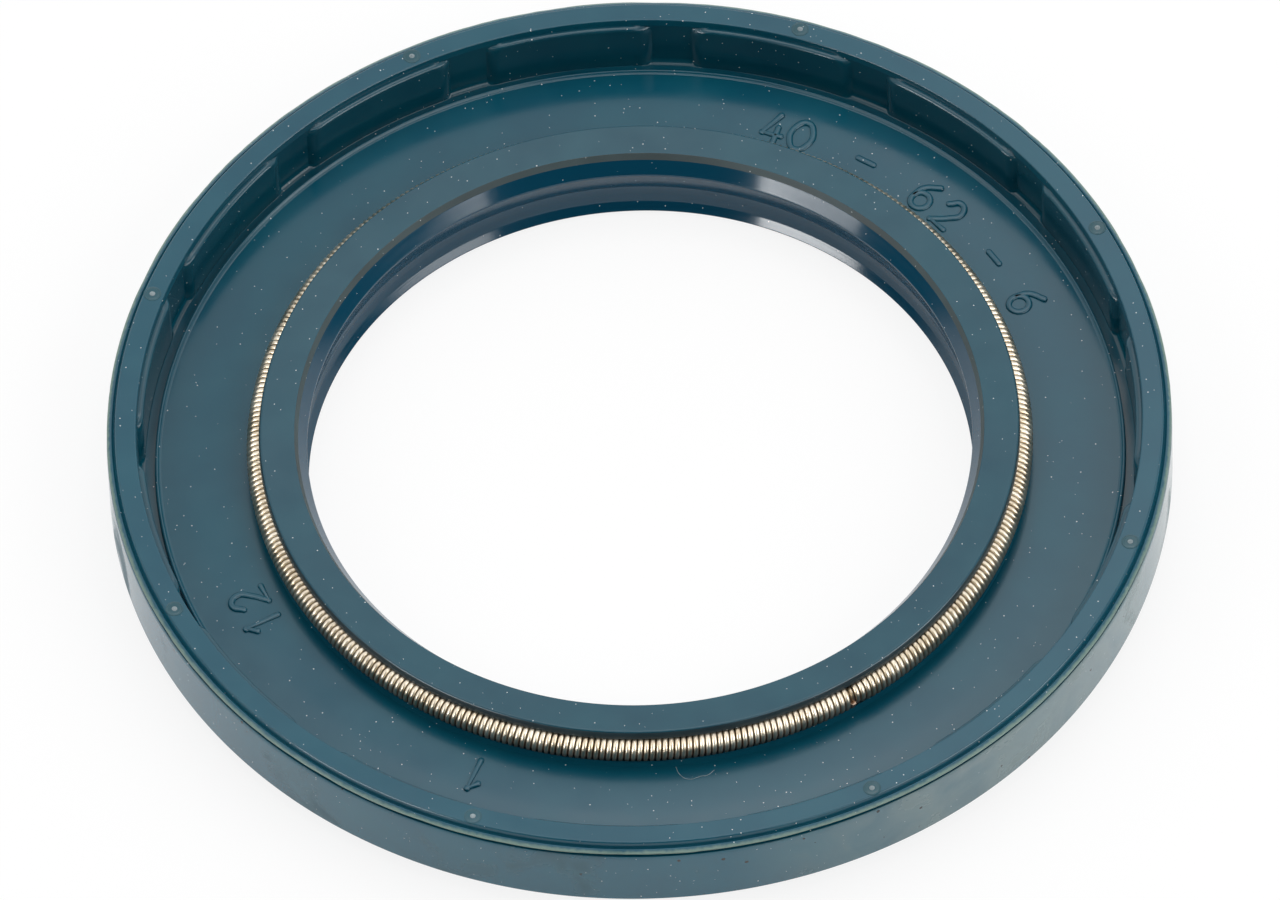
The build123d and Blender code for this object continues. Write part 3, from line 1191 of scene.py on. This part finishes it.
table_paint, tree, output = new_material("matt_white_table_paint")
place = add_node(tree, "TexCoord").outputs["Object"]
cloud = add_node(tree, "TexNoise", {"Vector": place, "Scale": 1 / (cloud_mm * MM)})
white = add_node(tree, "ValToRGB", {"Fac": cloud.outputs["Fac"]})
stops = white.color_ramp.elements
stops[0].color, stops[1].color = linear("#F8F8F8"), linear("#FBFBFB")
paint = add_node(tree, "BsdfDiffuse", {"Color": white.outputs["Color"]})
glow = add_node(tree, "Emission", {"Color": (1.0, 1.0, 1.0, 1.0), "Strength": 1.0})
path = add_node(tree, "LightPath").outputs
is_mirrored = add_node(
    tree, "Math", {0: path["Is Glossy Ray"], 1: path["Is Transmission Ray"]}, operation="MAXIMUM"
)
from_middle = add_node(tree, "VectorMath", {0: place}, operation="LENGTH")
fade = add_node(
    tree, "MapRange",
    {"Value": from_middle.outputs["Value"], "From Min": fade_from_r * MM, "From Max": fade_to_r * MM,
     "To Min": mirrored_share_under, "To Max": mirrored_share_round},
)
mirrored = add_node(
    tree, "Math", {0: is_mirrored.outputs["Value"], 1: fade.outputs["Result"]}, operation="MULTIPLY"
)
seen = add_node(tree, "Math", {0: path["Is Camera Ray"], 1: seen_share}, operation="MULTIPLY")
share = add_node(
    tree, "Math", {0: seen.outputs["Value"], 1: mirrored.outputs["Value"]}, operation="MAXIMUM"
)
surface = add_node(
    tree, "MixShader",
    {0: share.outputs["Value"], 1: paint.outputs["BSDF"], 2: glow.outputs["Emission"]},
)
tree.links.new(surface.outputs["Shader"], output.inputs["Surface"])
table.data.materials.append(table_paint)
print("table paint:", len(tree.nodes), "nodes")

# %% [markdown]
# ## Light
#
# A softbox overhead and a scrim at the back light the level faces. Two softboxes at the front, right
# and left, light the wall and the spring. A box above the camera and low strips on both sides only
# draw glints, on the spring and in the bore, so they are hidden from matt surfaces.

# %% Hang the lights
def softbox(name, azimuth, elevation, width, height, radiance, distance=0.9, glints_only=False):
    """A rectangular lamp, aimed at the seal from a direction in degrees; sizes in metres."""
    lamp = bpy.data.lights.new(name, "AREA")
    lamp.shape = "RECTANGLE"
    lamp.size, lamp.size_y = width, height
    lamp.energy = math.pi * width * height * radiance
    a, e = math.radians(azimuth), math.radians(elevation)
    towards = Vector((math.cos(e) * math.cos(a), math.cos(e) * math.sin(a), math.sin(e)))
    thing = bpy.data.objects.new(name, lamp)
    turned = towards.to_track_quat("Z", "Y").to_matrix().to_4x4()
    thing.matrix_world = Matrix.Translation(towards * distance) @ turned
    thing.visible_camera = False
    thing.visible_diffuse = not glints_only
    scene.collection.objects.link(thing)


softbox("right_softbox", azimuth=324, elevation=38, width=0.85, height=0.56, radiance=2.3)
softbox("left_softbox", azimuth=208, elevation=40, width=0.75, height=0.50, radiance=1.5)
softbox(
    "back_scrim", azimuth=71.5, elevation=53, width=0.15, height=0.20, radiance=0.6, distance=0.45
)
softbox("overhead", azimuth=90, elevation=77, width=0.60, height=0.56, radiance=1.5)
for name, azimuth, elevation, width, height, radiance in (
    ("front_overhead", 270, 67, 0.55, 0.22, 2.2),
    ("left_strip", 218, 9.5, 0.48, 0.30, 5.0),
    ("left_window", 218, 15, 0.48, 0.20, 9.0),
    ("right_strip", 333, 16, 0.74, 0.28, 5.0),
):
    softbox(name, azimuth, elevation, width, height, radiance, glints_only=True)
print("lamps:", len(bpy.data.lights))

# %% [markdown]
# ## The room
#
# Behind the seal the room is a white cove, which gives the level faces a soft grey sheen. It darkens
# towards the camera's side, so that the faces turned that way keep their deep colour. The brightness
# comes from how far a direction points to the back.

# %% Light the room
dark_towards, light_towards = -0.50, 0.45  # how far a direction points back: dark, and full light
dark_strength, light_strength = 0.02, 1.05

world = bpy.data.worlds.new("white_cove")
world.use_nodes = True
scene.world = world
tree = world.node_tree
tree.nodes.clear()
direction = add_node(tree, "TexCoord").outputs["Generated"]
towards_back = add_node(tree, "SeparateXYZ", {"Vector": direction}).outputs["Y"]
cove = add_node(
    tree, "MapRange",
    {"Value": towards_back, "From Min": dark_towards, "From Max": light_towards,
     "To Min": dark_strength, "To Max": light_strength},
)
backdrop = add_node(
    tree, "Background", {"Color": (1.0, 1.0, 1.0, 1.0), "Strength": cove.outputs["Result"]}
)
add_node(tree, "OutputWorld", {"Surface": backdrop.outputs["Background"]})

scene.view_settings.view_transform = "Standard"
print("world:", world.name)
